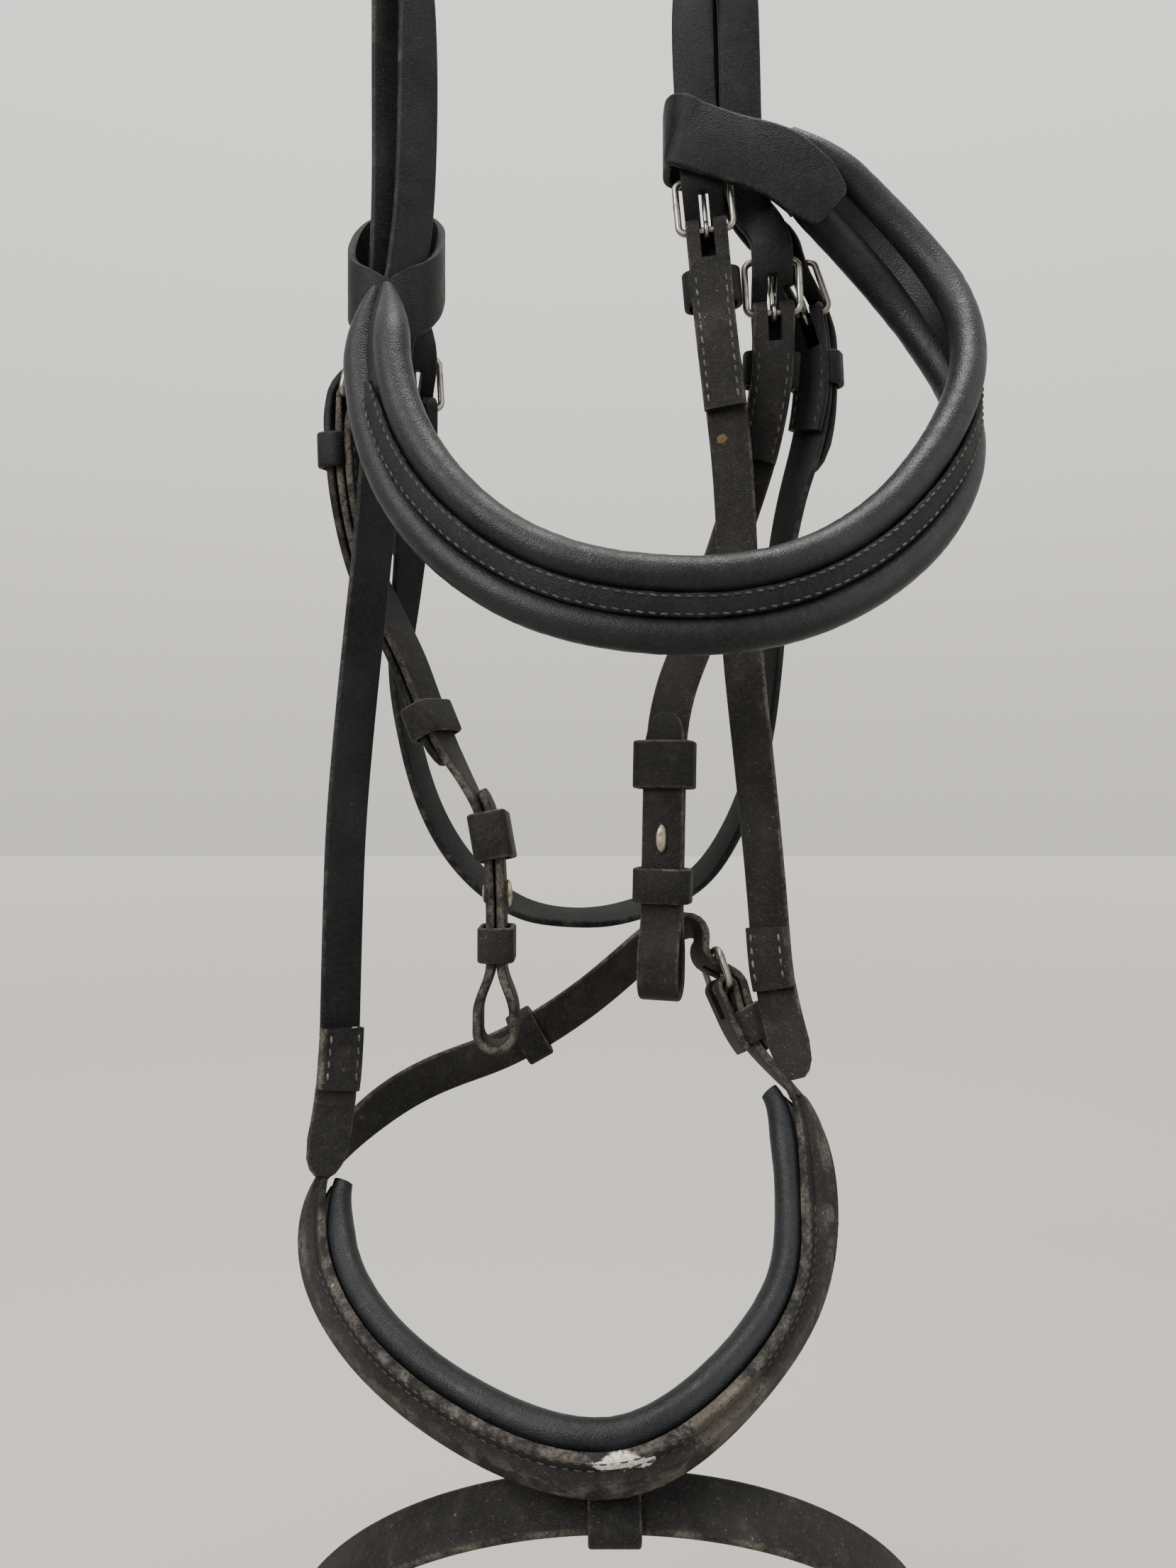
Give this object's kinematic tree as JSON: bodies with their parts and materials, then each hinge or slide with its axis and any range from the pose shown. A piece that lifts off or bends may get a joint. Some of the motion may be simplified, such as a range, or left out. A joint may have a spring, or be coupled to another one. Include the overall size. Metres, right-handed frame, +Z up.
{
  "type": "dressage bridle",
  "caption": "Black leather dressage bridle hanging by its headpiece, with padded browband, hook stud cheekpieces, throatlash, padded cavesson noseband and flash strap.",
  "frame": {"origin": "underside of the headpiece's crown over the poll, where the bridle hangs", "axes": "+X to the horse's near (left) side, +Y to the back of the bridle, so -Y is its front, +Z up"},
  "size_m": [0.2103, 0.13, 0.7059],
  "materials": {
    "black_leather": "matt bridle leather, worn grey-brown at its edges",
    "soft_black_leather": "soft stuffed leather, slight sheen",
    "nickel": "nickel plate, lightly worn",
    "worn_brass": "dull worn brass"
  },
  "bodies": {
    "crown": {"headpiece": "black_leather", "noseband_headstrap": "black_leather", "near_noseband_cheek": "black_leather", "noseband_buckle_frame": "nickel", "noseband_keeper": "black_leather", "near_cheek_chape": "black_leather", "near_cheek_buckle_frame": "nickel", "near_cheek_keeper": "black_leather", "off_cheek_chape": "black_leather", "off_cheek_buckle_frame": "nickel", "off_cheek_keeper": "black_leather", "near_throat_chape": "black_leather", "near_throat_buckle_frame": "nickel", "near_throat_keeper": "black_leather", "off_throat_chape": "black_leather", "off_throat_buckle_frame": "nickel", "off_throat_keeper": "black_leather"},
    "noseband_tongue": {"noseband_buckle_tongue": "nickel"},
    "browband": {"browband_padding": "soft_black_leather", "browband_strip": "black_leather", "near_browband_loop": "black_leather", "off_browband_loop": "black_leather"},
    "near_cheek": {"near_cheekpiece": "black_leather", "near_hook_stud": "worn_brass", "near_bit_keeper": "black_leather"},
    "near_cheek_tongue": {"near_cheek_buckle_tongue": "nickel"},
    "near_runner": {"near_bit_runner": "black_leather"},
    "off_cheek": {"off_cheekpiece": "black_leather", "off_cheek_billet_end": "black_leather", "off_cheek_runner": "black_leather", "off_hook_stud": "worn_brass", "off_bit_keeper": "black_leather"},
    "off_cheek_tongue": {"off_cheek_buckle_tongue": "nickel"},
    "off_runner": {"off_bit_runner": "black_leather"},
    "throat": {"throatlash": "black_leather"},
    "near_throat_tongue": {"near_throat_buckle_tongue": "nickel"},
    "off_throat_tongue": {"off_throat_buckle_tongue": "nickel"},
    "noseband": {"nosepiece_leather": "black_leather", "nosepiece_padding": "soft_black_leather", "near_noseband_loop_end": "black_leather", "off_noseband_loop_end": "black_leather", "near_chin_strap": "black_leather", "off_chin_strap": "black_leather", "chin_buckle_frame": "nickel", "chin_keeper": "black_leather", "flash_loop": "black_leather"},
    "chin_tongue": {"chin_buckle_tongue": "nickel"},
    "chin_runner": {"chin_runner": "black_leather"},
    "flash": {"flash_strap": "black_leather", "flash_buckle_frame": "nickel", "flash_keeper": "black_leather"},
    "flash_tongue": {"flash_buckle_tongue": "nickel"}
  },
  "joints": [
    {"name": "noseband_tongue_hinge", "type": "hinge", "parent": "crown", "child": "noseband_tongue", "pos_m": [0.04683, -0.00163, -0.16702], "axis": [-0.9859, 0.1386, -0.0943], "range_deg": [0, 10]},
    {"name": "browband_slide", "type": "slide", "parent": "crown", "child": "browband", "axis": [0, 0, 1], "range_m": [0, 0.003]},
    {"name": "near_cheek_swing", "type": "hinge", "parent": "crown", "child": "near_cheek", "pos_m": [0.06131, 0.01414, -0.24462], "axis": [0.9474, -0.0328, -0.3184], "range_deg": [-4, 4]},
    {"name": "near_cheek_tongue_hinge", "type": "hinge", "parent": "crown", "child": "near_cheek_tongue", "pos_m": [0.06883, 0.00513, -0.19012], "axis": [-0.998, 0.0371, -0.0509], "range_deg": [0, 10]},
    {"name": "near_runner_slide", "type": "slide", "parent": "near_cheek", "child": "near_runner", "axis": [0.0117, 0.0427, 0.999], "range_m": [-0.005, 0.005]},
    {"name": "off_cheek_swing", "type": "hinge", "parent": "crown", "child": "off_cheek", "pos_m": [-0.06032, 0.01219, -0.27193], "axis": [0.4144, 0.8773, 0.2421], "range_deg": [-4, 3]},
    {"name": "off_cheek_tongue_hinge", "type": "hinge", "parent": "crown", "child": "off_cheek_tongue", "pos_m": [-0.06474, 0.00688, -0.21742], "axis": [-0.3233, -0.9463, 0.006], "range_deg": [0, 10]},
    {"name": "off_runner_slide", "type": "slide", "parent": "off_cheek", "child": "off_runner", "axis": [-0.1785, 0.1035, 0.9785], "range_m": [-0.003, 0.001]},
    {"name": "throatlash_swing", "type": "hinge", "parent": "crown", "child": "throat", "pos_m": [-0.05072, 0.02517, -0.27157], "axis": [0.9734, -0.0339, 0.2265], "range_deg": [-1, 5]},
    {"name": "near_throat_tongue_hinge", "type": "hinge", "parent": "crown", "child": "near_throat_tongue", "pos_m": [0.08185, 0.01778, -0.18706], "axis": [-0.8415, 0.4765, -0.2547], "range_deg": [0, 10]},
    {"name": "off_throat_tongue_hinge", "type": "hinge", "parent": "crown", "child": "off_throat_tongue", "pos_m": [-0.04626, 0.01827, -0.21614], "axis": [-0.9172, -0.3889, -0.0864], "range_deg": [0, 10]},
    {"name": "noseband_swing", "type": "hinge", "parent": "crown", "child": "noseband", "pos_m": [-0.0682, 0, -0.4155], "axis": [0.9749, 0, 0.2228], "range_deg": [-3, 10]},
    {"name": "chin_tongue_hinge", "type": "hinge", "parent": "noseband", "child": "chin_tongue", "pos_m": [0.05259, 0.01028, -0.40558], "axis": [-0.2478, 0.9176, -0.3108], "range_deg": [0, 10]},
    {"name": "chin_runner_slide", "type": "slide", "parent": "noseband", "child": "chin_runner", "axis": [-0.8725, -0.0456, -0.4864], "range_m": [-0.003, 0.001]},
    {"name": "flash_turn", "type": "hinge", "parent": "noseband", "child": "flash", "pos_m": [0.0165, -0.0185, -0.60727], "axis": [0, 0.866, 0.5], "range_deg": [-90, 90]},
    {"name": "flash_tongue_hinge", "type": "hinge", "parent": "flash", "child": "flash_tongue", "pos_m": [0.01636, 0.02818, -0.68812], "axis": [0, 0.866, 0.5], "range_deg": [0, 10]}
  ]
}
